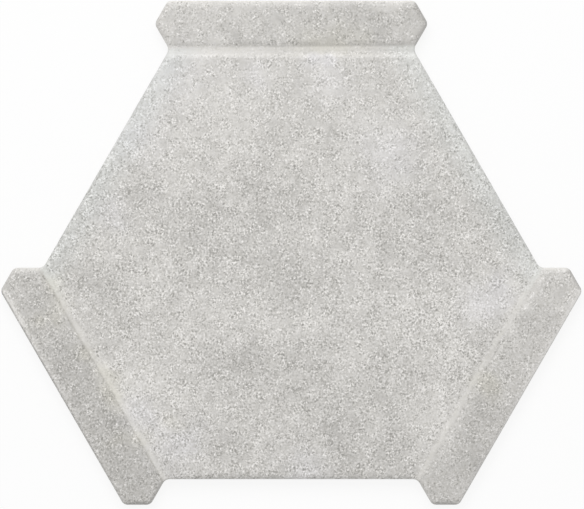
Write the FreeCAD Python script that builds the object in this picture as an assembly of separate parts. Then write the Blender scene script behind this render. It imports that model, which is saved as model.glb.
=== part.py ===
"""Hexagonal porcelain floor tile with three pointed strips, pressed and fired as one piece.

The face reads as four pieces laid with a mortar joint: a regular hexagon, and a pointed strip
along every second side of it. Shallow pressed grooves, as wide as the laying joint, part them.
On the floor, the strips of neighbouring tiles close the bare sides, so that each side of the
hexagon lattice carries one strip, and three pointed ends meet at each of its corners.

Frame, in millimetres: origin at the tile's centre on its bedding plane, +Z up out of the face,
+Y out through the middle of one strip.
"""

import FreeCAD
import Part

import math
import os

# Driving dimensions of the plan
field_across_flats = 184.0  # the hexagon between two of its opposite sides
strip_width = 20.0
joint_width = 2.0  # the laying joint, which the pressed grooves copy
corner_radius = 3.0  # outward corners of the outline
notch_radius = 3.5  # inward corners, where a strip's end meets the hexagon

# Driving dimensions of the section
tile_thickness = 9.0
edge_rounding = 2.6  # pillowed rim of the face
groove_depth = 1.05
groove_slope = 26.0  # degrees, the steepest part of a groove's flank
groove_foot_radius = 0.8
groove_shoulder_radius = 4.5  # where a flank rolls over into the face
back_chamfer = 0.8

# Driving dimensions of the pressed back
cell_pitch = 17.0
rib_width = 2.6
cell_depth = 0.7
cell_draft = 0.7  # how far a cell's wall leans in over its depth
rim_width = 5.0  # plain margin between the cells and the tile's sides

# The hexagonal layout
strip_count = 3
sides = 2 * strip_count
side_turn = 360 / sides  # degrees from one side to the next
sine_60 = math.sin(math.radians(60))
tangent_60 = math.tan(math.radians(60))

# Distances from the tile's centre, along the middle of a side
field_edge = field_across_flats / 2
groove_axis = field_edge + joint_width / 2
strip_axis = field_edge + joint_width + strip_width / 2
strip_outer_edge = strip_axis + strip_width / 2

UP = FreeCAD.Vector(0, 0, 1)
ORIGIN = FreeCAD.Vector(0, 0, 0)
height_tolerance = 1e-6


def turned(point, side):
    """The point, turned about the tile's centre by a number of sides."""
    return FreeCAD.Rotation(UP, side * side_turn).multVec(point)


def strip_end():
    """The corners at the +X end of the strip on +Y, each with its radius: notch, tip and outer.

    The strip lies along one side of the lattice that the laid tiles make. Its end is a point of
    120 degrees, half a joint back from the lattice's corner on either face.
    """
    lattice_corner_x = strip_axis / tangent_60
    tip_x = lattice_corner_x - joint_width / 2 / sine_60
    notch_x = tip_x - (strip_axis - groove_axis) / tangent_60
    outer_x = tip_x - (strip_outer_edge - strip_axis) / tangent_60
    return [
        (FreeCAD.Vector(notch_x, groove_axis, 0), notch_radius),
        (FreeCAD.Vector(tip_x, strip_axis, 0), corner_radius),
        (FreeCAD.Vector(outer_x, strip_outer_edge, 0), corner_radius),
    ]


def outline_corners():
    """Each corner of the outline with its radius, anticlockwise."""
    right = strip_end()
    left = [(FreeCAD.Vector(-p.x, p.y, 0), radius) for p, radius in reversed(right)]
    corners = []
    for strip in range(strip_count):
        for point, radius in right + left:
            corners.append((turned(point, 2 * strip), radius))
    return corners


def tangent_arc(before, corner, after, radius):
    """The arc that rounds the corner between the runs from one point and to another."""
    back = (before - corner).normalize()
    on = (after - corner).normalize()
    half_angle = back.getAngle(on) / 2
    run = radius / math.tan(half_angle)
    middle = corner + (back + on).normalize() * (radius / math.sin(half_angle) - radius)
    return Part.Arc(corner + back * run, middle, corner + on * run)


def joined(arcs):
    """A closed wire of the arcs in order, with a straight run up to each."""
    edges = []
    for index, arc in enumerate(arcs):
        edges.append(Part.LineSegment(arcs[index - 1].EndPoint, arc.StartPoint).toShape())
        edges.append(arc.toShape())
    return Part.Wire(edges)


def outline():
    """The tile's outline with its corners rounded, on the bedding plane."""
    corners = outline_corners()
    arcs = []
    for index, (corner, radius) in enumerate(corners):
        following = corners[(index + 1) % len(corners)][0]
        arcs.append(tangent_arc(corners[index - 1][0], corner, following, radius))
    return joined(arcs)


def level_edges(shape, height):
    """The shape's edges that lie wholly at one height."""
    level = []
    for edge in shape.Edges:
        box = edge.BoundBox
        if max(abs(box.ZMin - height), abs(box.ZMax - height)) < height_tolerance:
            level.append(edge)
    return level


def blank():
    """The pressed blank: the outline at full thickness, rounded above and chamfered below."""
    body = Part.Face(outline()).extrude(UP * tile_thickness)
    body = body.makeFillet(edge_rounding, level_edges(body, tile_thickness))
    return body.makeChamfer(back_chamfer, level_edges(body, 0))


def groove():
    """The cutter of the groove on +Y: a flat floor as wide as the joint, between two flanks.

    Each flank leaves the floor in a small arc, climbs straight, and rolls over into the face in
    a large arc.
    """
    slope = math.radians(groove_slope)
    foot = joint_width / 2 + groove_foot_radius * math.tan(slope / 2)
    shoulder = foot + groove_depth / math.tan(slope)
    face_point = shoulder + groove_shoulder_radius
    floor_z = tile_thickness - groove_depth

    def place(out, height):
        """The point that far out from the groove's axis, at the cutter's -X end."""
        return FreeCAD.Vector(-strip_axis, groove_axis + out, height)

    profile = [
        place(-face_point, tile_thickness),
        place(-shoulder, tile_thickness),
        place(-foot, floor_z),
        place(foot, floor_z),
        place(shoulder, tile_thickness),
        place(face_point, tile_thickness),
    ]
    radii = [groove_shoulder_radius, groove_foot_radius, groove_foot_radius, groove_shoulder_radius]
    arcs = [tangent_arc(*profile[index : index + 3], radius) for index, radius in enumerate(radii)]
    return Part.Face(joined(arcs)).extrude(FreeCAD.Vector(2 * strip_axis, 0, 0))


def hexagon(across_flats, height):
    """A hexagonal wire about the vertical axis, with a corner towards +Y."""
    corner = FreeCAD.Vector(0, across_flats / 2 / sine_60, height)
    return Part.makePolygon([turned(corner, index) for index in range(sides + 1)])


def cell():
    """The cutter of one cell of the back, narrower at its floor."""
    mouth = cell_pitch - rib_width
    floor = mouth - 2 * cell_draft
    return Part.makeLoft([hexagon(mouth, 0), hexagon(floor, cell_depth)], True, True)


def cell_centres():
    """The centres of the cells that clear the rim. Three ribs meet at the tile's centre."""
    cell_reach = (cell_pitch - rib_width) / 2 / sine_60
    limits = []
    for side in range(sides):
        edge = strip_outer_edge if side % 2 == 0 else field_edge
        limits.append((turned(FreeCAD.Vector(0, 1, 0), side), edge - rim_width - cell_reach))
    row_pitch = cell_pitch * sine_60
    first_row_y = cell_pitch / 2 / sine_60
    rows = math.ceil(strip_outer_edge / row_pitch)
    columns = 2 * rows
    centres = []
    for row in range(-rows, rows + 1):
        for column in range(-columns, columns + 1):
            centre = FreeCAD.Vector(
                (column + row / 2) * cell_pitch, row * row_pitch + first_row_y, 0
            )
            if all(centre.dot(outward) <= limit for outward, limit in limits):
                centres.append(centre)
    return centres


def hexagon_tile():
    """The whole tile."""
    cutters = []
    for strip in range(strip_count):
        cutter = groove()
        cutter.rotate(ORIGIN, UP, 2 * strip * side_turn)
        cutters.append(cutter)
    for centre in cell_centres():
        cutter = cell()
        cutter.translate(centre)
        cutters.append(cutter)
    return blank().cut(cutters)


tile = hexagon_tile()
os.makedirs("parts", exist_ok=True)
tile.exportStep("parts/hexagon_tile.step")
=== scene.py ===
"""Looks of a hexagonal porcelain floor tile with a fine cement print, seen straight from above.

Places in the tile's plane are complex numbers, x + iy, in millimetres.
"""

import cmath
import logging
import math
from dataclasses import astuple, dataclass, field
from enum import Enum
from functools import cached_property, partial
from typing import Callable, Sequence, Union

import bpy
import numpy as np
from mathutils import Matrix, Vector, geometry, kdtree, noise


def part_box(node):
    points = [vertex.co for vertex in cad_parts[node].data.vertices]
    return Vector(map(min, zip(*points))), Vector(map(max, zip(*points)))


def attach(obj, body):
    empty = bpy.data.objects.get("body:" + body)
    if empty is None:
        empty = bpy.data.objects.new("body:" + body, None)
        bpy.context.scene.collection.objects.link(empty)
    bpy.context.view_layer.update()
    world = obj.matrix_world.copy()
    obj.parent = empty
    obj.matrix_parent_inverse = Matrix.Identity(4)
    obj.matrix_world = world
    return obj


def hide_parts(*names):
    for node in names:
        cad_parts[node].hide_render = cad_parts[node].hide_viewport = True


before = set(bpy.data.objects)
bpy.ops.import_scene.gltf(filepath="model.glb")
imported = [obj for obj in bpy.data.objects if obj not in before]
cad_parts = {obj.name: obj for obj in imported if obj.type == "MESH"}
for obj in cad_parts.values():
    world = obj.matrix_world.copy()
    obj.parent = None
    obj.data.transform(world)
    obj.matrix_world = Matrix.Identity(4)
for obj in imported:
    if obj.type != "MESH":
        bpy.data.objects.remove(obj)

NODE = "hexagon_tile"
BODY = "root"
MM = 0.001
SINE_60 = math.sin(math.radians(60))
TANGENT_60 = math.tan(math.radians(60))
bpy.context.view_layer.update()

INSIDE_LOOPS = 1  # what a triangulation keeps
WELD_DISTANCE = 1e-6  # mm, at which a triangulation takes two points for one
RAMP = ("From Min", "From Max", "To Min", "To Max")  # the sockets that a Ramp sets, in its order

Node = bpy.types.Node
Feed = Union[Node, bpy.types.NodeSocket, float, Sequence[float]]
Adder = Callable[..., Node]
Span = tuple[float, float]

log = logging.getLogger(NODE)


class Surface(Enum):
    """The tile's surfaces, each with a material slot of its own."""

    GLAZED = 0
    BARE = 1


class Pattern(Enum):
    """The fractal patterns: the height at which each is sampled in the noise, and its layers."""

    FIRED_WAVES = (3.7, 3)
    FIRED_PITS = (7.4, 2)
    SEAM_BREAKS = (5.1, 2)
    UNEVEN_FLANKS = (8.6, 2)
    RAGGED_EDGES = (2.7, 3)
    DRIFT_ACROSS = (1.3, 3)
    DRIFT_UP = (9.2, 3)


def linear(hex_colour: str) -> tuple[float, float, float, float]:
    """Turns an sRGB hex colour into linear light.

    Args:
        hex_colour: Six hex digits after a hash.

    Returns:
        Red, green, blue and an alpha of one.
    """
    levels = [int(hex_colour[i : i + 2], 16) / 255 for i in (1, 3, 5)]
    red, green, blue = [
        s / 12.92 if s <= 0.04045 else ((s + 0.055) / 1.055) ** 2.4 for s in levels
    ]
    return red, green, blue, 1.0


def add_node(
    tree: bpy.types.NodeTree,
    kind: str,
    inputs: dict[Union[str, int], Feed] | None = None,
    **settings: object,
) -> Node:
    """Adds one node to a tree, with its settings and what feeds it.

    Args:
        tree: The tree that gets the node.
        kind: The node's type, without the leading ShaderNode.
        inputs: Name or index of a socket to its value, or to the node or output that feeds it.
            A node feeds from its first output in use.
        **settings: The node's own properties.

    Returns:
        The new node.
    """
    node = tree.nodes.new("ShaderNode" + kind)
    for name, value in settings.items():
        setattr(node, name, value)
    for key, feed in (inputs or {}).items():
        if isinstance(key, str):
            socket = next(s for s in node.inputs if s.enabled and s.name == key)
        else:
            socket = node.inputs[key]
        if isinstance(feed, Node):
            feed = next(s for s in feed.outputs if s.enabled)
        if isinstance(feed, bpy.types.NodeSocket):
            tree.links.new(feed, socket)
        else:
            socket.default_value = feed
    return node


def new_material(name: str) -> tuple[bpy.types.Material, Adder]:
    """Makes a material with an empty tree.

    Args:
        name: The real material's name.

    Returns:
        The material and what adds a node to its tree.
    """
    material = bpy.data.materials.new(name)
    material.use_nodes = True
    material.node_tree.nodes.clear()
    return material, partial(add_node, material.node_tree)


@dataclass(frozen=True)
class Mottle:
    """An uneven pattern: how wide its lumps are in mm, how fine and rough, and how much shows."""

    size: float
    detail: float
    roughness: float = 0.5
    share: float = 1.0


@dataclass(frozen=True)
class Ramp:
    """A straight change from one value to another, and level beyond its ends."""

    start: float = 0.0
    end: float = 1.0
    first: float = 0.0
    last: float = 1.0


def smoothstep(low: float, high: float, value: np.ndarray) -> np.ndarray:
    """Rises smoothly from 0 at low to 1 at high."""
    t = np.clip((value - low) / (high - low), 0, 1)
    return t * t * (3 - 2 * t)


def bell(distance: np.ndarray, width: float) -> np.ndarray:
    """Falls from 1 at no distance, along a bell curve."""
    return np.exp(-((distance / width) ** 2))


def fractal(places: np.ndarray, size: float, pattern: Pattern) -> np.ndarray:
    """Samples fractal noise over the plane.

    Args:
        places: Places in the plane.
        size: Width of the first layer's lumps, in mm. Each further layer's are half as wide.
        pattern: Which pattern is sampled.

    Returns:
        About -1 to 1 for each place.
    """
    height, layers = pattern.value
    spots = [Vector((place.real, place.imag, height)) for place in places / size]
    fall, narrowing = 1.0, 2.0
    return np.array([noise.fractal(spot, fall, narrowing, layers) for spot in spots])


@dataclass
class TilePlan:
    """The tile's outline and where its hexagon, grooves and strips lie, in mm."""

    field_across_flats: float = 184.0
    strip_width: float = 20.0
    joint_width: float = 2.0
    corner_radius: float = 3.0
    notch_radius: float = 3.5
    strip_angles: tuple[float, ...] = (90.0, 210.0, 330.0)
    step: float = 0.85
    steps_round_corner: int = 7

    def __post_init__(self) -> None:
        """Works out the distances from the tile's centre along the middle of a side."""
        self.field_edge = self.field_across_flats / 2
        self.groove_axis = self.field_edge + self.joint_width / 2
        self.strip_axis = self.field_edge + self.joint_width + self.strip_width / 2
        self.strip_outer_edge = self.strip_axis + self.strip_width / 2
        self.rays = [cmath.exp(1j * math.radians(angle)) for angle in self.strip_angles]

    def corners(self) -> list[tuple[complex, float]]:
        """Gives every corner of the outline with its radius, anticlockwise."""
        tip = self.strip_axis / TANGENT_60 - self.joint_width / 2 / SINE_60
        notch = tip - (self.strip_axis - self.groove_axis) / TANGENT_60
        outer = tip - self.strip_width / 2 / TANGENT_60
        right_end = [
            (self.groove_axis - 1j * notch, self.notch_radius),
            (self.strip_axis - 1j * tip, self.corner_radius),
            (self.strip_outer_edge - 1j * outer, self.corner_radius),
        ]
        left_end = [(place.conjugate(), radius) for place, radius in reversed(right_end)]
        return [
            (place * ray, radius) for ray in self.rays for place, radius in right_end + left_end
        ]

    @cached_property
    def outline(self) -> tuple[np.ndarray, np.ndarray]:
        """The outline in short steps, with each corner as an arc, and its outward normals.

        A point less its normal times a depth lies exactly on the outline's inner offset.
        """
        corners = self.corners()
        arcs = []
        for index, (corner, radius) in enumerate(corners):
            incoming = corner - corners[index - 1][0]
            incoming /= abs(incoming)
            turn = cmath.phase((corners[(index + 1) % len(corners)][0] - corner) / incoming)
            side = math.copysign(1.0, turn)
            first = -1j * incoming
            cut = radius * math.tan(abs(turn) / 2)
            centre = corner - incoming * cut - side * radius * first
            normals = first * np.exp(1j * np.linspace(0, turn, self.steps_round_corner + 1))
            arcs.append((centre + side * radius * normals, normals))
        points, normals = [], []
        for index, (arc, arc_normals) in enumerate(arcs):
            start = arcs[index - 1][0][-1]
            count = max(1, round(abs(arc[0] - start) / self.step))
            points += [np.linspace(start, arc[0], count + 1)[1:-1], arc]
            normals += [np.full(count - 1, arc_normals[0]), arc_normals]
        return np.concatenate(points), np.concatenate(normals)

    def apothems(self, places: np.ndarray) -> np.ndarray:
        """Gives how far out each place lies towards each strip, one column a strip."""
        return (places[:, None] * np.conj(self.rays)).real

    def edges(self, places: np.ndarray) -> tuple[np.ndarray, np.ndarray]:
        """Finds the outline's nearest edge to each place.

        Args:
            places: Places in the plane.

        Returns:
            How far inside the edge each place lies, less than 0 outside it, and the edge's
            outward normal.
        """
        points, normals = self.outline
        tree = kdtree.KDTree(len(points))
        for index, point in enumerate(points):
            tree.insert((point.real, point.imag, 0.0), index)
        tree.balance()
        nearest = np.array([tree.find((p.real, p.imag, 0.0))[1] for p in places])
        return ((points[nearest] - places) * np.conj(normals[nearest])).real, normals[nearest]


@dataclass
class FaceRelief:
    """The pressed shape of the face: its pillowed rim, its grooves and a fine unevenness."""

    plan: TilePlan
    thickness: float = 9.0
    edge_rounding: float = 2.6
    groove_depth: float = 1.05
    groove_slope: float = 26.0
    groove_foot_radius: float = 0.8
    groove_shoulder_radius: float = 4.5
    crease_sharpness: float = 8.0
    wave_depth: float = 0.05
    wave_size: float = 14.0
    pit_depth: float = 0.06
    pit_size: float = 2.4
    pit_span: Span = (0.35, 0.9)

    def __post_init__(self) -> None:
        """Works out how far a groove's foot, its bend and its shoulder lie from its middle."""
        slope = math.radians(self.groove_slope)
        bends = (self.groove_foot_radius + self.groove_shoulder_radius) * math.tan(slope / 2)
        self.foot = self.plan.joint_width / 2
        self.bend_end = self.foot + self.groove_foot_radius * math.sin(slope)
        self.shoulder = self.foot + self.groove_depth / math.tan(slope) + bends

    def groove_offsets(self, places: np.ndarray) -> np.ndarray:
        """Gives how far out from the nearest groove's middle each place lies."""
        offsets = self.plan.apothems(places) - self.plan.groove_axis
        nearest = np.abs(offsets).argmin(axis=1)[:, None]
        return np.take_along_axis(offsets, nearest, axis=1)[:, 0]

    def climb(self, run: np.ndarray, radius: float) -> np.ndarray:
        """Gives how far a flank leaves the level over a run, in an arc and then straight."""
        slope = math.radians(self.groove_slope)
        bend = np.clip(run, 0, radius * math.sin(slope))
        straight = np.maximum(run - radius * math.sin(slope), 0)
        return radius - np.sqrt(radius**2 - bend**2) + straight * math.tan(slope)

    def groove_drop(self, places: np.ndarray) -> np.ndarray:
        """Gives how far the grooves lie below the face."""
        away = np.abs(self.groove_offsets(places))
        from_floor = self.groove_depth - self.climb(away - self.foot, self.groove_foot_radius)
        from_face = self.climb(self.shoulder - away, self.groove_shoulder_radius)
        return np.where(away < self.bend_end, from_floor, from_face)

    def rim_drop(self, insets: np.ndarray) -> np.ndarray:
        """Gives how far the rounded rim lies below the face."""
        across = np.clip(1 - insets / self.edge_rounding, 0, 1)
        return self.edge_rounding * (1 - np.sqrt(1 - across**2))

    def unevenness(self, places: np.ndarray) -> np.ndarray:
        """Gives how far slow waves and small pits take the fired face below its flat."""
        waves = 0.5 - 0.5 * fractal(places, self.wave_size, Pattern.FIRED_WAVES)
        pits = smoothstep(*self.pit_span, fractal(places, self.pit_size, Pattern.FIRED_PITS))
        return self.wave_depth * waves.clip(0, 1) + self.pit_depth * pits

    def heights(self, places: np.ndarray, insets: np.ndarray) -> np.ndarray:
        """Gives the height of the face, where the rim and the grooves meet in soft creases.

        Args:
            places: Places in the plane.
            insets: How far inside the outline each lies, in mm.

        Returns:
            Heights in mm.
        """
        power = self.crease_sharpness
        drops = self.rim_drop(insets) ** power + self.groove_drop(places) ** power
        flatness = smoothstep(self.edge_rounding / 2, self.edge_rounding, insets)
        return self.thickness - drops ** (1 / power) - self.unevenness(places) * flatness


@dataclass
class PressedBack:
    """The honeycomb of shallow drafted cells that the lower die presses into the back."""

    plan: TilePlan
    cell_pitch: float = 17.0
    rib_width: float = 2.6
    cell_depth: float = 0.7
    cell_draft: float = 0.7
    rim_width: float = 5.0
    corner_share: float = 0.16
    corner_steps: int = 3
    lip: float = 0.18

    def centres(self) -> np.ndarray:
        """Gives the centres of the cells that clear the rim. Three ribs meet at the middle."""
        reach = (self.cell_pitch - self.rib_width) / 2 / SINE_60
        rows = math.ceil(self.plan.strip_outer_edge / self.cell_pitch / SINE_60)
        row, column = np.mgrid[-rows : rows + 1, -2 * rows : 2 * rows + 1]
        across = (column + row / 2) * self.cell_pitch
        up = row * self.cell_pitch * SINE_60 + self.cell_pitch / 2 / SINE_60
        centres = (across + 1j * up).ravel()
        out = self.plan.apothems(centres)
        strips_clear = out.max(axis=1) <= self.plan.strip_outer_edge - self.rim_width - reach
        sides_clear = -out.min(axis=1) <= self.plan.field_edge - self.rim_width - reach
        return centres[strips_clear & sides_clear]

    def ring(self, across_flats: float) -> np.ndarray:
        """Gives the points of a rounded hexagon with a corner towards +Y, anticlockwise."""
        corners = 1j * across_flats / 2 / SINE_60 * np.exp(1j * np.radians(60) * np.arange(6))
        before = corners + (np.roll(corners, 1) - corners) * self.corner_share
        after = corners + (np.roll(corners, -1) - corners) * self.corner_share
        t = np.linspace(0, 1, self.corner_steps + 1)
        curves = np.outer(before, (1 - t) ** 2) + np.outer(corners, 2 * t * (1 - t))
        return (curves + np.outer(after, t**2)).ravel()

    def rings(self) -> list[tuple[np.ndarray, float]]:
        """Gives a cell's rings from its mouth to its floor, each with its height in mm."""
        mouth = self.cell_pitch - self.rib_width
        floor = mouth - 2 * self.cell_draft
        step = self.lip * self.cell_depth / self.cell_draft
        return [
            (self.ring(mouth + self.lip), 0.0),
            (self.ring(mouth - self.lip), step),
            (self.ring(floor + self.lip), self.cell_depth - step),
            (self.ring(floor - self.lip), self.cell_depth),
        ]


@dataclass(frozen=True)
class Patch:
    """A soft patch of the print.

    The tone is how much lighter it is, the grain how much coarser, and the tint how far it
    leans from ochre, below 0, to lavender.
    """

    x: float
    y: float
    radius: float
    tone: float
    grain: float = 0.0
    tint: float = 0.0


@dataclass(frozen=True)
class StripPrintAndLight:
    """How the print lies on one strip and in the groove beside it, and the light painted there.

    A tone is how much lighter the place is, and a loss or a bareness how much of the print's
    contrast is gone there. On the rim and the inner flank the added lightness is thinner ink
    and painted light together: painted light lifts the shade of their slopes and brightens
    the top rim. The rim's start and reach are in from the outline, in mm, and all
    other places are out from the groove's middle. The wander is how far the print's edges
    stray. The skew is how far they drift out over a millimetre along the strip, and the outer
    flank's drift how much lighter it grows over it.
    """

    strip_tone: float
    contrast_loss: float
    rim_ink_and_light: float
    rim_start: float
    rim_reach: float
    floor_start: float
    floor_end: float
    floor_blur: float
    floor_tone: float
    flank_ink_and_light: float
    flank_middle: float
    flank_width: float
    flank_bareness: float
    outer_flank_tone: float
    bare_start: float
    bare_end: float
    bareness: float
    seam_tone: float
    seam_tint: float
    wander: float
    skew: float = 0.0
    outer_flank_drift: float = 0.0


@dataclass(frozen=True)
class SideTintAndLight:
    """Painted light and a cool tint along a bare side: how much lighter, how far in, and how
    cool.
    """

    tone: float
    reach: float
    chill: float


@dataclass
class PrintAndPaintedLight:
    """How the print lies on the tile: where it is darker, and where the ink runs thin; and where
    light and shade are painted on the rims, flanks, tips and upper sides.
    """

    relief: FaceRelief
    strips: tuple[StripPrintAndLight, ...] = (
        StripPrintAndLight(
            strip_tone=-0.09, contrast_loss=0.08, rim_ink_and_light=0.50, rim_start=0.0, rim_reach=0.9,
            floor_start=-0.6, floor_end=1.05, floor_blur=0.3, floor_tone=0.08,
            flank_ink_and_light=0.16, flank_middle=-2.45, flank_width=0.75, flank_bareness=0.35,
            outer_flank_tone=0.045, bare_start=-1.6, bare_end=1.7, bareness=0.72,
            seam_tone=-0.04, seam_tint=-0.4, wander=0.0,
            skew=0.015, outer_flank_drift=0.0014,
        ),
        StripPrintAndLight(
            strip_tone=-0.13, contrast_loss=0.13, rim_ink_and_light=1.63, rim_start=0.9, rim_reach=1.05,
            floor_start=-0.95, floor_end=0.95, floor_blur=0.25, floor_tone=0.12,
            flank_ink_and_light=0.22, flank_middle=-2.25, flank_width=1.2, flank_bareness=0.0,
            outer_flank_tone=0.045, bare_start=-1.2, bare_end=1.3, bareness=0.68,
            seam_tone=-0.10, seam_tint=-0.6, wander=0.3,
        ),
        StripPrintAndLight(
            strip_tone=-0.04, contrast_loss=0.22, rim_ink_and_light=1.75, rim_start=0.45, rim_reach=0.7,
            floor_start=-0.9, floor_end=1.05, floor_blur=0.35, floor_tone=0.085,
            flank_ink_and_light=0.16, flank_middle=-1.9, flank_width=1.5, flank_bareness=-0.1,
            outer_flank_tone=0.0, bare_start=-0.9, bare_end=1.2, bareness=0.7,
            seam_tone=-0.05, seam_tint=0.0, wander=0.8,
        ),
    )
    # The tone along the two upper bare sides is painted light. The chill is a cool tint.
    bare_sides: tuple[SideTintAndLight, ...] = (
        SideTintAndLight(tone=0.0, reach=3.2, chill=0.0),
        SideTintAndLight(tone=0.06, reach=4.8, chill=1.0),
        SideTintAndLight(tone=0.05, reach=3.2, chill=1.0),
    )
    side_span: Span = (-5.0, -4.5)
    side_blur: float = 0.6
    chill_span: Span = (-16.0, -1.0)
    # Painted light and shade along the strip tips' edges, given for each way an edge faces.
    facings: tuple[float, ...] = (30.0, 90.0, 150.0, 210.0, 270.0, 330.0)
    tip_light_and_shade: tuple[float, ...] = (-0.20, 0.30, 0.08, 0.08, -0.24, -0.08)
    tip_reach: float = 1.3
    tip_bareness: float = 0.6
    long_edge_span: Span = (-0.9, -0.2)
    rim_blur: float = 0.35
    rim_fade: float = 1.2
    rim_grain: float = -0.6
    # The rims' thinner ink, painted light and smoother grain fall to this share lower down the
    # tile.
    low_rim_share: float = 0.3
    low_rim_span: Span = (-95.0, -10.0)
    floor_start_blur: float = 0.4
    floor_tint: float = -0.15
    outer_flank_start: float = 3.0
    outer_flank_fade: float = 1.0
    seam_offset: float = 1.45
    seam_width: float = 0.4
    seam_break_size: float = 22.0
    seam_break_span: Span = (-0.5, 0.4)
    bare_blur: float = 0.6
    least_contrast: float = 0.1
    upper_grain: float = -0.25
    upper_span: Span = (20.0, 90.0)
    flank_unevenness_share: float = 0.5
    flank_unevenness_size: float = 7.0
    wander_size: float = 9.0
    warp_reach: float = 5.0
    warp_size: float = 16.0
    patches: tuple[Patch, ...] = tuple(
        Patch(*spot)
        for spot in (
            (-39, 13, 14, -0.14), (-15, 37, 11, -0.06), (-1, -1, 7, -0.11), (5, -13, 8, -0.13),
            (4, 23, 12, -0.13), (-10, 27, 7, -0.08), (-16, 18, 5, -0.09), (-28, 24, 5, -0.07),
            (-61, 26, 5, -0.12), (-51, -5, 6, -0.13), (-38, 15, 6, -0.05), (-82, -12, 13, -0.10),
            (-88, -16, 5, -0.06), (-74, -2, 6, -0.06), (-79, -31, 8, -0.09), (-65, 30, 11, -0.10),
            (-58, 42, 8, -0.06), (-16, 54, 7, -0.10), (-24, -38, 11, -0.12), (-40, -40, 6, -0.12),
            (4, -41, 13, -0.07), (6, -37, 5, -0.06), (14, -63, 20, -0.10), (22, -74, 8, -0.07),
            (-44, -68, 5, -0.08), (45, -74, 12, -0.05), (46, -68, 7, -0.07), (46, -46, 8, -0.09),
            (-29, -80, 8, -0.05), (40, 8, 12, -0.11), (37, 3, 5, -0.08), (63, 10, 15, -0.08),
            (65, -3, 6, -0.13), (67, 28, 7, -0.08), (56, -27, 8, -0.08), (19, -6, 6, -0.07),
            (37, -14, 5, -0.06), (34, 82, 8, -0.06), (44, 23, 6, -0.06), (65, 16, 6, -0.08),
            (-34, 36, 5, -0.08), (-16, 41, 5, -0.08), (44, -85, 6, -0.08), (46, -31, 5, 0.09),
            (-74, -47, 6, 0.07), (-84, 40, 6, -0.08), (20, 63, 14, -0.04), (26, 62, 6, -0.05),
            (25, -23, 8, -0.10), (79, -35, 5, -0.10), (-50, 82, 14, 0.05, -0.1, 0.5),
            (-17, 82, 7, 0.05, 0.0, 0.6), (17, 81, 10, 0.11, -0.1, 0.5), (53, 84, 9, 0.09),
            (-65, 57, 12, 0.10, -0.1, 0.6), (42, 48, 13, 0.085, -0.2, 0.7), (33, 45, 5, 0.05),
            (-52, 41, 12, 0.05), (-27, 38, 6, 0.11), (-28, 65, 6, 0.06), (-2, 46, 7, 0.05),
            (-76, 22, 7, 0.06, 0.0, 0.6), (-92, 6, 9, 0.05), (-64, 8, 6, 0.10), (11, 5, 6, 0.12),
            (30, 6, 7, 0.04), (51, 13, 6, 0.09), (78, 6, 7, 0.07), (-62, -9, 7, 0.09),
            (-45, 0, 5, 0.09), (80, 30, 8, 0.07), (80, -17, 8, 0.12, -0.3, 0.8),
            (90, -10, 6, 0.04, -0.2, 0.8), (75, -17, 6, 0.12), (98, -7, 9, 0.17),
            (66, -65, 7, 0.08, -0.35), (-90, -24, 6, 0.06, -0.35), (95, -34, 6, 0.06),
            (66, -46, 8, 0.05), (73, -37, 7, 0.13), (55, -54, 7, 0.08), (62, -23, 16, 0.04, 0.25),
            (-28, -21, 7, 0.10), (-58, -28, 9, 0.10), (-43, -33, 6, 0.14), (-64, -50, 14, 0.14),
            (-65, -64, 8, 0.04, 0.0, 0.8), (-50, -77, 11, 0.10, 0.0, 0.8), (-32, -66, 8, 0.06),
            (-18, -67, 6, 0.06), (-8, -45, 10, 0.04), (-9, -29, 8, 0.14),
            (27, -39, 8, 0.11, -0.2), (34, -66, 7, 0.09), (13, -27, 7, 0.07), (60, -72, 10, 0.12),
            (71, 48, 10, 0.04), (4, -90, 10, 0.08, 0.0, 0.7), (-30, 104, 30, 0.03, -0.1),
            (-3, 101, 9, -0.11), (17, 104, 8, -0.10), (5, 111, 7, 0.10), (-15, 111, 8, 0.06),
            (39, 101, 8, -0.11), (56, 104, 8, -0.11, -0.3), (112, -14, 9, 0.07, -0.2),
            (102, -28, 14, 0.0, -0.1), (75, -45, 14, 0.0, 0.25), (67, -91, 11, 0.0, -0.15),
            (-67, -91, 11, 0.0, -0.15), (-112, -12, 9, 0.0, -0.12), (79, -68, 12, -0.10),
            (78, -83, 7, -0.10), (106, -22, 7, -0.06), (-74, -86, 7, -0.09), (-82, -48, 6, -0.09),
            (-96, -36, 7, -0.07), (8, 95, 6, 0.0, 0.0, -1.2), (19, 96, 6, 0.0, 0.0, -1.2),
            (30, 96, 4, 0.0, 0.0, -0.6), (7, 89, 4, 0.03, 0.0, 1.6), (16, 89, 4, 0.03, 0.0, 1.6),
            (-103, -8, 5, 0.02, 0.0, -1.0), (-100, -20, 5, 0.0, 0.0, -0.9),
            (-110, -24, 4, 0.0, 0.0, -0.9), (-88, -37, 4, 0.0, 0.0, -1.0),
            (-80, -46, 4, 0.02, 0.0, -1.0), (-79, -55, 5, 0.0, 0.0, -1.2),
            (-66, -73, 5, 0.0, 0.0, -0.9), (-75, -75, 4, 0.0, 0.0, -0.7),
            (-50, -67, 4, 0.0, 0.0, -0.8), (81, -52, 5, 0.02, 0.0, -1.8),
        )
    )

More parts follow.
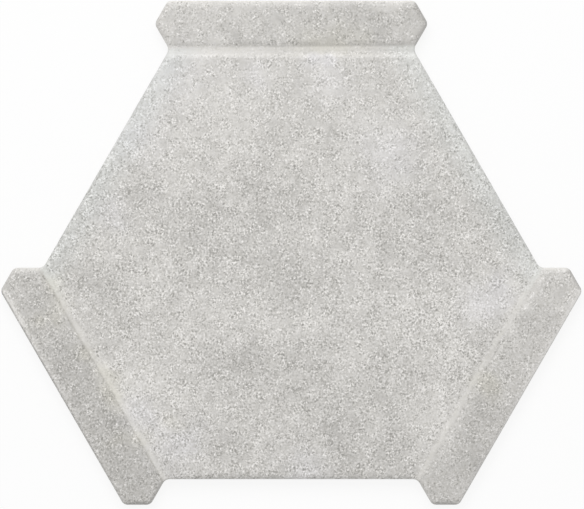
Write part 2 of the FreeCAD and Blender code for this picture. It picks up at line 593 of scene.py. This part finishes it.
    def zones(
        self, ink_and_light: StripPrintAndLight, turned: np.ndarray, insets: np.ndarray, ragged: np.ndarray
    ) -> dict[str, np.ndarray]:
        """Finds how far each place belongs to the zones of one strip and its groove.

        Args:
            ink_and_light: How the print and the painted light lie there.
            turned: Places in the plane, turned so that the strip lies towards +X.
            insets: How far inside the outline each lies, in mm.
            ragged: How the print's edges stray, about -1 to 1.

        Returns:
            0 to 1 for each place, by the name of the zone.
        """
        relief = self.relief
        out = turned.real - relief.plan.groove_axis
        edge = out + ink_and_light.wander * ragged + ink_and_light.skew * turned.imag
        strip = smoothstep(-ink_and_light.floor_blur, ink_and_light.floor_blur, edge - ink_and_light.floor_end)
        floor = smoothstep(-self.floor_start_blur, self.floor_start_blur, edge - ink_and_light.floor_start)
        bare = smoothstep(-self.bare_blur, self.bare_blur, edge - ink_and_light.bare_start)
        bare *= smoothstep(-self.bare_blur, self.bare_blur, ink_and_light.bare_end - edge)
        outer = smoothstep(self.outer_flank_start, relief.shoulder + self.outer_flank_fade, out)
        to_long_edge = relief.foot + relief.plan.strip_width - out
        along_edge = smoothstep(*self.long_edge_span, insets - to_long_edge)
        rim = np.exp(-insets / ink_and_light.rim_reach) * strip * along_edge
        rim *= smoothstep(-self.rim_blur, self.rim_blur, insets - ink_and_light.rim_start)
        rim *= 1 - smoothstep(relief.edge_rounding, relief.edge_rounding + self.rim_fade, insets)
        return {
            "strip": strip,
            "floor": floor * (1 - strip),
            "flank": bell(out - ink_and_light.flank_middle, ink_and_light.flank_width),
            "outer flank": strip * (1 - outer),
            "seam": bell(out - self.seam_offset, self.seam_width),
            "rim": rim,
            "tip": bell(insets, self.tip_reach) * strip * (1 - along_edge),
            "bare": bare,
        }

    def marks(
        self, places: np.ndarray, insets: np.ndarray, normals: np.ndarray
    ) -> dict[str, np.ndarray]:
        """Works out what the print and the painted light and shade do at each place.

        Args:
            places: Places in the plane.
            insets: How far inside the outline each lies, in mm.
            normals: Outward normals of the outline nearest to each.

        Returns:
            Tone, grain and tint, each as an addition, how much of the cool edge tint shows, and
            how much contrast the print keeps. The tone holds the print and the painted light and
            shade together.
        """
        ragged = fractal(places, self.wander_size, Pattern.RAGGED_EDGES)
        flank_unevenness = 1 + self.flank_unevenness_share * fractal(places, self.flank_unevenness_size, Pattern.UNEVEN_FLANKS)
        breaks = fractal(places, self.seam_break_size, Pattern.SEAM_BREAKS)
        broken = smoothstep(*self.seam_break_span, breaks)
        # The rims' thinner ink and painted light weaken lower down the tile.
        rising = smoothstep(*self.low_rim_span, places.imag)
        rim_share = self.low_rim_share + (1 - self.low_rim_share) * rising
        angles = np.degrees(np.angle(normals))
        # Painted light and shade at the tips, by the facing of the nearest edge.
        tip_light_and_shade = np.interp(angles, self.facings, self.tip_light_and_shade, period=360)
        tone, tint, chill, on_strips = np.zeros((4, len(places)))
        grain = self.upper_grain * smoothstep(*self.upper_span, places.imag)
        contrast = np.ones(len(places))
        for ink_and_light, side, ray in zip(self.strips, self.bare_sides, self.relief.plan.rays):
            turned = places * ray.conjugate()
            zone = self.zones(ink_and_light, turned, insets, ragged)
            outer_tone = ink_and_light.outer_flank_tone + ink_and_light.outer_flank_drift * turned.imag
            beyond = -turned.real - self.relief.plan.field_edge
            inward = smoothstep(-self.side_blur, self.side_blur, insets - side.reach)
            tone += ink_and_light.strip_tone * zone["strip"] + ink_and_light.floor_tone * zone["floor"]
            # Flank tone: thinner ink plus painted light that lifts the shade of the inner flank,
            # uneven along the groove.
            tone += ink_and_light.flank_ink_and_light * zone["flank"] * flank_unevenness + outer_tone * zone["outer flank"]
            # Rim tone: thinner ink plus painted light. Tip tone: painted light and shade.
            tone += ink_and_light.rim_ink_and_light * zone["rim"] * rim_share + tip_light_and_shade * zone["tip"]
            tone += ink_and_light.seam_tone * zone["seam"]
            # Painted light along the upper bare sides.
            tone += side.tone * smoothstep(*self.side_span, beyond) * (1 - inward)
            grain += self.rim_grain * zone["rim"] * rim_share
            tint += ink_and_light.seam_tint * zone["seam"] * broken + self.floor_tint * zone["floor"]
            chill += side.chill * smoothstep(*self.chill_span, beyond)
            on_strips += zone["strip"]
            contrast -= ink_and_light.contrast_loss * zone["strip"] + ink_and_light.bareness * zone["bare"]
            contrast -= ink_and_light.flank_bareness * zone["flank"] + self.tip_bareness * zone["tip"]
        across = fractal(places, self.warp_size, Pattern.DRIFT_ACROSS)
        up = fractal(places, self.warp_size, Pattern.DRIFT_UP)
        warped = places + self.warp_reach * (across + 1j * up)
        for patch in self.patches:
            weight = bell(np.abs(warped - complex(patch.x, patch.y)), patch.radius)
            tone += patch.tone * weight
            grain += patch.grain * weight
            tint += patch.tint * weight
        return {
            "tone": tone,
            "grain": grain,
            "tint": tint,
            "chill": chill * (1 - on_strips),
            "contrast": contrast.clip(self.least_contrast, 1),
        }


@dataclass
class HexagonTile:
    """The whole fired tile as one closed mesh, with the finish of each of its surfaces."""

    plan: TilePlan = field(default_factory=TilePlan)
    back_chamfer: float = 0.8
    face_spacing: float = 0.8
    lattice_margin: float = 1.2
    groove_row_spacing: float = 0.34
    rim_rows: int = 10
    wall_rows: int = 4
    crease_angle: float = 30.0

    def __post_init__(self) -> None:
        """Sets out the face and the back on the plan."""
        self.relief = FaceRelief(self.plan)
        self.back = PressedBack(self.plan)
        self.places = np.empty(0, complex)
        self.heights = np.empty(0)
        self.faces: list[tuple[int, ...]] = []
        self.surfaces: list[Surface] = []

    def add_points(self, places: np.ndarray, heights: np.ndarray) -> list[int]:
        """Adds vertices and returns their indices."""
        start = len(self.places)
        self.places = np.concatenate([self.places, places])
        self.heights = np.concatenate([self.heights, heights])
        return list(range(start, len(self.places)))

    def bridge(self, lower: list[int], upper: list[int], surface: Surface) -> None:
        """Joins two rings of equal length with quads that face outward."""
        for index in range(len(lower)):
            after = (index + 1) % len(lower)
            self.faces.append((lower[index], lower[after], upper[after], upper[index]))
            self.surfaces.append(surface)

    def fill(
        self,
        loop: list[int],
        places: np.ndarray,
        heights: np.ndarray,
        ties: list[tuple[int, int]],
        surface: Surface,
    ) -> None:
        """Fills a loop with triangles through the points inside it.

        Args:
            loop: Indices of the loop's vertices, anticlockwise from above.
            places: Places of the points inside it.
            heights: Their heights in mm.
            ties: Pairs of those points that an edge has to join.
            surface: What the triangles belong to. Glazed ones face up and bare ones down.
        """
        flat = [Vector((p.real, p.imag)) for p in (*self.places[loop], *places)]
        count = len(loop)
        edges = [(a + count, b + count) for a, b in ties]
        _, _, triangles, sources, _, _ = geometry.delaunay_2d_cdt(
            flat, edges, [list(range(count))], INSIDE_LOOPS, WELD_DISTANCE
        )
        indices = loop + self.add_points(places, heights)
        step = 1 if surface is Surface.GLAZED else -1
        for triangle in triangles:
            self.faces.append(tuple(indices[min(sources[i])] for i in triangle[::step]))
            self.surfaces.append(surface)

    def press_side(self) -> tuple[list[int], list[int]]:
        """Builds the chamfer, the wall and the pillowed rim, from the back up to the face.

        Returns:
            The indices of the ring on the back and of the ring where the flat face starts.
        """
        points, normals = self.plan.outline
        wall_top = self.relief.thickness - self.relief.edge_rounding
        bottom = self.add_points(points - normals * self.back_chamfer, np.zeros(len(points)))
        below, surface = bottom, Surface.BARE
        for height in np.linspace(self.back_chamfer, wall_top, self.wall_rows + 1):
            ring = self.add_points(points, np.full(len(points), height))
            self.bridge(below, ring, surface)
            below, surface = ring, Surface.GLAZED
        for angle in np.linspace(0, math.pi / 2, self.rim_rows + 1)[1:]:
            depth = self.relief.edge_rounding * (1 - math.cos(angle))
            places = points - normals * depth
            heights = self.relief.heights(places, np.full(len(places), depth))
            ring = self.add_points(places, heights)
            self.bridge(below, ring, Surface.GLAZED)
            below = ring
        return bottom, below

    def face_places(self) -> np.ndarray:
        """Sets out the face's vertices inside its rim.

        Returns:
            Places in rows along the grooves, and elsewhere on a triangular lattice.
        """
        spacing = self.face_spacing
        reach = math.ceil(self.lattice_margin * self.plan.strip_outer_edge / spacing)
        row, column = np.mgrid[-reach : reach + 1, -reach : reach + 1]
        lattice = (spacing * (column + row % 2 / 2) + 1j * spacing * SINE_60 * row).ravel()
        half_zone = self.relief.shoulder
        away = np.abs(self.relief.groove_offsets(lattice))
        parts = [lattice[away > half_zone + self.groove_row_spacing]]
        rows = math.ceil(half_zone / self.groove_row_spacing)
        row, column = np.mgrid[-rows : rows + 1, -reach : reach + 1]
        out = self.plan.groove_axis + half_zone * row / rows
        groove = (out + 1j * spacing * (column + row % 2 / 2)).ravel()
        parts += [groove * ray for ray in self.plan.rays]
        places = np.concatenate(parts)
        return places[self.plan.edges(places)[0] > self.relief.edge_rounding + spacing / 2]

    def press_back(self, loop: list[int]) -> None:
        """Fills the back inside its ring, with the cells pressed into it."""
        places, heights, ties = [], [], []
        start = 0
        for centre in self.back.centres():
            for ring, height in self.back.rings():
                count = len(ring)
                places.append(centre + ring)
                heights.append(np.full(count, height))
                ties += [(start + k, start + (k + 1) % count) for k in range(count)]
                start += count
        self.fill(loop, np.concatenate(places), np.concatenate(heights), ties, Surface.BARE)

    def build(self) -> bpy.types.Object:
        """Builds the tile and puts it in the place of the plain node.

        Returns:
            The tile, which rides on the frame's one body.
        """
        bottom, top = self.press_side()
        places = self.face_places()
        heights = self.relief.heights(places, self.plan.edges(places)[0])
        self.fill(top, places, heights, [], Surface.GLAZED)
        self.press_back(bottom)
        mesh = bpy.data.meshes.new("fired_tile")
        vertices = np.column_stack([self.places.real, self.places.imag, self.heights]) * MM
        mesh.from_pydata(vertices.tolist(), [], self.faces)
        mesh.polygons.foreach_set("material_index", [s.value for s in self.surfaces])
        mesh.shade_smooth()
        mesh.set_sharp_from_angle(angle=math.radians(self.crease_angle))
        marks = PrintAndPaintedLight(self.relief).marks(self.places, *self.plan.edges(self.places))
        for name, values in marks.items():
            layer = mesh.attributes.new(name, "FLOAT", "POINT")
            layer.data.foreach_set("value", values.astype(np.float32))
        for finish in (CementPrintedPorcelain(), FiredBiscuit()):
            mesh.materials.append(finish.build())
        tile = bpy.data.objects.new("fired_tile", mesh)
        bpy.context.scene.collection.objects.link(tile)
        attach(tile, BODY)
        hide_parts(NODE)
        triangles = sum(len(face) - 2 for face in self.faces)
        log.info("fired_tile: %d vertices, %d triangles", len(self.places), triangles)
        return tile


@dataclass(frozen=True)
class FiredBiscuit:
    """Bare porcelain, as pressed and fired: the lower wall and the back.

    To the eye it is a dry putty grey with fine dark specks, faintly streaked up the wall where
    the die drew off, and pale where kiln wash clings to what stands proud of the back. Sizes are
    in mm. The pressed granules are really a few tenths of a millimetre wide and the iron specks
    finer still. Both are drawn coarser, so that they show.
    """

    pale_body: str = "#CFC9BD"
    dark_body: str = "#B5AD9F"
    iron_speck: str = "#8A7C6B"
    kiln_wash: str = "#ECEAE4"
    blush: Mottle = Mottle(30.0, 4.0, share=0.9)
    granules: Mottle = Mottle(0.8, 2.0, share=0.9)
    streak_size: tuple[float, float, float] = (1.1, 1.1, 16.0)
    streaks: Mottle = Mottle(1.0, 3.0, share=0.8)
    speck_spacing: float = 2.2
    specks: Ramp = Ramp(0.08, 0.2, 0.6, 0.0)
    brush_size: tuple[float, float, float] = (70.0, 5.0, 5.0)
    brushing: Mottle = Mottle(1.0, 6.0, 0.65)
    cover: Ramp = Ramp(0.42, 0.6, 0.1, 0.85)
    proud: Ramp = Ramp(0.1, 0.35, 1.0, 0.12)
    bumps: Mottle = Mottle(0.8, 3.0)
    bump_height: float = 0.05
    bump_strength: float = 0.8
    roughness: float = 0.85

    def colour(self, add: Adder, mm: Node) -> Node:
        """Adds the bare body's colour to a material.

        Args:
            add: What adds a node to the material's tree.
            mm: The node that gives the place in mm.

        Returns:
            The node that gives the colour.
        """
        up_the_wall = add(
            "VectorMath", {0: mm, 1: [1 / size for size in self.streak_size]},
            operation="MULTIPLY",
        )
        layers = ((self.blush, mm), (self.granules, mm), (self.streaks, up_the_wall))
        tone: Feed = 0.5 - sum(pattern.share for pattern, _ in layers) / 2
        for pattern, place in layers:
            layer = add(
                "TexNoise", {"Vector": place, "Scale": 1 / pattern.size, "Detail": pattern.detail}
            )
            tone = add("Math", {0: layer, 1: pattern.share, 2: tone}, operation="MULTIPLY_ADD")
        cells = add("TexVoronoi", {"Vector": mm, "Scale": 1 / self.speck_spacing})
        speck = add("MapRange", {"Value": cells, **dict(zip(RAMP, astuple(self.specks)))})
        colour: Feed = linear(self.dark_body)
        for factor, hex_colour in ((tone, self.pale_body), (speck, self.iron_speck)):
            colour = add(
                "Mix", {"Factor": factor, "A": colour, "B": linear(hex_colour)}, data_type="RGBA"
            )
        return colour

    def build(self) -> bpy.types.Material:
        """Makes the material of the back."""
        material, add = new_material("fired_porcelain_biscuit")
        place = add("TexCoord").outputs["Object"]
        mm = add("VectorMath", {0: place, "Scale": 1 / MM}, operation="SCALE")
        along_rollers = add(
            "VectorMath", {0: mm, 1: [1 / size for size in self.brush_size]},
            operation="MULTIPLY",
        )
        brushed, bumps = [
            add(
                "TexNoise",
                {
                    "Vector": spot, "Scale": 1 / pattern.size,
                    "Detail": pattern.detail, "Roughness": pattern.roughness,
                },
            )
            for pattern, spot in ((self.brushing, along_rollers), (self.bumps, mm))
        ]
        height = add("SeparateXYZ", {0: mm}).outputs["Z"]
        proud = add("MapRange", {"Value": height, **dict(zip(RAMP, astuple(self.proud)))})
        cover = add("MapRange", {"Value": brushed, **dict(zip(RAMP, astuple(self.cover)))})
        wash = add("Math", {0: proud, 1: cover}, operation="MULTIPLY")
        washed = add(
            "Mix", {"Factor": wash, "A": self.colour(add, mm), "B": linear(self.kiln_wash)},
            data_type="RGBA",
        )
        bump = add(
            "Bump",
            {"Height": bumps, "Distance": self.bump_height * MM, "Strength": self.bump_strength},
        )
        shader = add(
            "BsdfPrincipled", {"Base Color": washed, "Roughness": self.roughness, "Normal": bump}
        )
        add("OutputMaterial", {"Surface": shader})
        return material


@dataclass(frozen=True)
class CementPrintedPorcelain:
    """Pressed porcelain with a fine cement print on engobe, under a clear matt glaze.

    To the eye it is a light warm grey full of sand-sized flecks, clouded like dried cement. The
    glaze reaches over the rim and ends in an uneven line on the wall. Sizes are in mm. The
    printed sand and grit are really 0.1 to 0.3 mm wide, and are drawn two to four times as
    coarse, so that they show where a pixel is 0.43 mm.
    """

    dark_cement: str = "#979694"
    light_cement: str = "#F4F3F2"
    ochre_tint: str = "#FFFDF5"
    lavender_tint: str = "#FFFEFF"
    cool_tint: str = "#FBFEFF"
    mean: float = 0.5
    clouds: Mottle = Mottle(20.0, 4.0, 0.95, share=0.85)
    clusters: Mottle = Mottle(4.5, 3.0)
    coarseness: Ramp = Ramp(0.35, 0.65, 0.42, 1.58)
    sand: Mottle = Mottle(0.9, 1.0, 0.8, share=1.1)
    grit_size: float = 0.62
    grit_share: float = 0.5
    peak_power: float = 3.0
    peak_share: float = 5.0
    fleck_tint: Ramp = Ramp(first=0.3, last=0.7)
    tint_share: float = 0.5
    drips: Mottle = Mottle(4.0, 3.0)
    drip_depth: float = 1.6
    glaze_line: Ramp = Ramp(5.1, 5.4)
    bump_height: float = 0.02
    roughness: float = 0.45
    roughness_spread: float = 0.2

    def tone(
        self, add: Adder, marks: dict[str, Feed], clouds: Feed, clusters: Feed, grain: Feed
    ) -> Node:
        """Adds the print's tone to the material.

        Args:
            add: What adds a node to the material's tree.
            marks: What gives each mark of the print.
            clouds: What gives the clouding.
            clusters: What gives where the grain clusters.
            grain: What gives the even grain of sand and grit.

        Returns:
            The node that gives 0 for dark cement to 1 for light cement.
        """
        peaks = add("Math", {0: grain, 1: self.peak_power}, operation="POWER")
        peaked = add("Math", {0: peaks, 1: self.peak_share, 2: grain}, operation="MULTIPLY_ADD")
        ramp = dict(zip(RAMP, astuple(self.coarseness)))
        coarseness = add("MapRange", {"Value": clusters, **ramp})
        strength = add("Math", {0: coarseness, 1: marks["grain"]}, operation="ADD")
        texture: Feed = -self.clouds.share / 2
        for layer, share in ((clouds, self.clouds.share), (peaked, strength)):
            texture = add("Math", {0: layer, 1: share, 2: texture}, operation="MULTIPLY_ADD")
        level = add("Math", {0: marks["tone"], 1: self.mean}, operation="ADD")
        return add(
            "Math", {0: texture, 1: marks["contrast"], 2: level}, operation="MULTIPLY_ADD"
        )

    def build(self) -> bpy.types.Material:
        """Makes the material of the face, the rim and the wall."""
        material, add = new_material("cement_printed_porcelain")
        place = add("TexCoord").outputs["Object"]
        mm = add("VectorMath", {0: place, "Scale": 1 / MM}, operation="SCALE")
        marks = {
            name: add("Attribute", attribute_name=name).outputs["Fac"]
            for name in ("tone", "grain", "tint", "chill", "contrast")
        }
        clouds, clusters, sand, drips = [
            add(
                "TexNoise",
                {
                    "Vector": mm, "Scale": 1 / pattern.size,
                    "Detail": pattern.detail, "Roughness": pattern.roughness,
                },
            )
            for pattern in (self.clouds, self.clusters, self.sand, self.drips)
        ]
        grit = add("TexVoronoi", {"Vector": mm, "Scale": 1 / self.grit_size}).outputs["Color"]
        grain: Feed = -(self.sand.share + self.grit_share) / 2
        for layer, share in ((sand, self.sand.share), (grit, self.grit_share)):
            grain = add("Math", {0: layer, 1: share, 2: grain}, operation="MULTIPLY_ADD")
        flecks = add("MapRange", {"Value": grit, **dict(zip(RAMP, astuple(self.fleck_tint)))})
        lean = add(
            "Math", {0: marks["tint"], 1: self.tint_share, 2: flecks}, operation="MULTIPLY_ADD"
        )
        tone = self.tone(add, marks, clouds, clusters, grain)
        printed, tint = [
            add("Mix", {"Factor": factor, "A": linear(a), "B": linear(b)}, data_type="RGBA")
            for factor, a, b in (
                (tone, self.dark_cement, self.light_cement),
                (lean, self.ochre_tint, self.lavender_tint),
            )
        ]
        for factor, colour in ((1.0, tint), (marks["chill"], linear(self.cool_tint))):
            printed = add(
                "Mix", {"Factor": factor, "A": printed, "B": colour},
                data_type="RGBA", blend_type="MULTIPLY",
            )
        height = add("SeparateXYZ", {0: mm}).outputs["Z"]
        wavy = add("Math", {0: drips, 1: -self.drip_depth, 2: height}, operation="MULTIPLY_ADD")
        glaze = add("MapRange", {"Value": wavy, **dict(zip(RAMP, astuple(self.glaze_line)))})
        bare = FiredBiscuit()
        colour = add(
            "Mix", {"Factor": glaze, "A": bare.colour(add, mm), "B": printed}, data_type="RGBA"
        )
        glossiest = self.roughness - self.roughness_spread / 2
        gloss = add("MapRange", {"Value": glaze, "To Min": bare.roughness, "To Max": glossiest})
        roughness = add(
            "Math", {0: clusters, 1: self.roughness_spread, 2: gloss}, operation="MULTIPLY_ADD"
        )
        bump = add("Bump", {"Height": grain, "Distance": self.bump_height * MM, "Strength": 1.0})
        shader = add(
            "BsdfPrincipled", {"Base Color": colour, "Roughness": roughness, "Normal": bump}
        )
        add("OutputMaterial", {"Surface": shader})
        return material


@dataclass
class Studio:
    """The pale floor, the soft lamp, the even surround and the camera straight above."""

    plan: TilePlan = field(default_factory=TilePlan)
    view_width: float = 251.0
    view_x: float = 0.284
    view_y: float = 4.71
    lens: float = 250.0
    sensor: float = 36.0
    floor_size: float = 16.0
    floor_opening_inset: float = 0.9
    floor_glow: float = 0.87
    lamp_azimuth: float = 102.0
    lamp_elevation: float = 58.0
    lamp_distance: float = 1.1
    lamp_size: float = 0.7
    lamp_power: float = 6.06
    surround: float = 0.57
    paper: str = "#F8F8F8"
    white: str = "#FFFFFF"

    def seen_directly(self, add: Adder) -> Node:
        """Adds what is 1 for the camera and for its view through gloss and glass, or else 0.

        Args:
            add: What adds a node to the tree of the floor's material or of the world.

        Returns:
            The node that gives it.
        """
        rays = add("LightPath").outputs
        seen: Feed = rays["Is Camera Ray"]
        for kind in ("Is Glossy Ray", "Is Transmission Ray"):
            seen = add("Math", {0: seen, 1: rays[kind]}, operation="MAXIMUM")
        return seen

    def lay_floor(self) -> None:
        """Lays the floor, which looks near white and keeps the tile's shadow.

        It is open under the middle of the tile, so that a camera below it sees the back.
        """
        points, normals = self.plan.outline
        opening = (points - normals * self.floor_opening_inset) * MM
        sheet = self.floor_size / 2 * np.array([-1 - 1j, 1 - 1j, 1 + 1j, -1 + 1j])
        flat = [Vector((p.real, p.imag)) for p in (*sheet, *opening)]
        loops = [list(range(len(sheet))), list(range(len(sheet), len(flat)))]
        opening_loop = 1
        spots, _, faces, _, _, origins = geometry.delaunay_2d_cdt(
            flat, [], loops, INSIDE_LOOPS, WELD_DISTANCE * MM
        )
        mesh = bpy.data.meshes.new("studio_floor")
        paper_faces = [face for face, origin in zip(faces, origins) if opening_loop not in origin]
        mesh.from_pydata([(spot.x, spot.y, 0.0) for spot in spots], [], paper_faces)
        plane = bpy.data.objects.new("studio_floor", mesh)
        bpy.context.scene.collection.objects.link(plane)
        material, add = new_material("white_paper")
        seen = self.seen_directly(add)
        share = add("Math", {0: seen, 1: self.floor_glow}, operation="MULTIPLY")
        paper = add("BsdfDiffuse", {"Color": linear(self.paper)})
        glow = add("Emission", {"Color": linear(self.white), "Strength": 1.0})
        mixed = add("MixShader", {0: share, 1: paper, 2: glow})
        add("OutputMaterial", {"Surface": mixed})
        plane.data.materials.append(material)

    def light_surround(self) -> None:
        """Surrounds the tile with even light that looks white to the camera."""
        world = bpy.data.worlds.new("surround")
        bpy.context.scene.world = world
        world.use_nodes = True
        world.node_tree.nodes.clear()
        add = partial(add_node, world.node_tree)
        seen = self.seen_directly(add)
        strength = add("MapRange", {"Value": seen, "To Min": self.surround})
        light = add("Background", {"Color": linear(self.white), "Strength": strength})
        add("OutputWorld", {"Surface": light})

    def hang_lamp(self) -> None:
        """Hangs one soft lamp behind the upper edge, a little to the left."""
        lamp = bpy.data.lights.new("soft_lamp", "AREA")
        lamp.size = self.lamp_size
        lamp.energy = self.lamp_power
        holder = bpy.data.objects.new("soft_lamp", lamp)
        bpy.context.scene.collection.objects.link(holder)
        azimuth, elevation = math.radians(self.lamp_azimuth), math.radians(self.lamp_elevation)
        ray = Vector((
            math.cos(azimuth) * math.cos(elevation),
            math.sin(azimuth) * math.cos(elevation),
            math.sin(elevation),
        ))
        holder.location = ray * self.lamp_distance
        holder.rotation_mode = "QUATERNION"
        holder.rotation_quaternion = ray.to_track_quat("Z", "Y")

    def set_camera(self) -> None:
        """Sets the camera straight above the tile, framed as in the photograph."""
        lens = bpy.data.cameras.new("camera")
        lens.lens = self.lens
        lens.sensor_width = self.sensor
        camera = bpy.data.objects.new("camera", lens)
        bpy.context.scene.collection.objects.link(camera)
        distance = self.view_width * MM * self.lens / self.sensor
        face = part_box(NODE)[1].z
        camera.location = (self.view_x * MM, self.view_y * MM, face + distance)
        bpy.context.scene.camera = camera

    def build(self) -> None:
        """Sets up everything round the tile."""
        self.lay_floor()
        self.light_surround()
        self.hang_lamp()
        self.set_camera()
        bpy.context.scene.view_settings.view_transform = "Standard"
        log.info("studio: lamp %.1f W at %.0f degrees", self.lamp_power, self.lamp_elevation)


def main() -> None:
    """Builds the tile and its studio."""
    logging.basicConfig(level=logging.INFO, format="%(name)s %(message)s")
    HexagonTile().build()
    Studio().build()


if __name__ == "__main__":
    main()
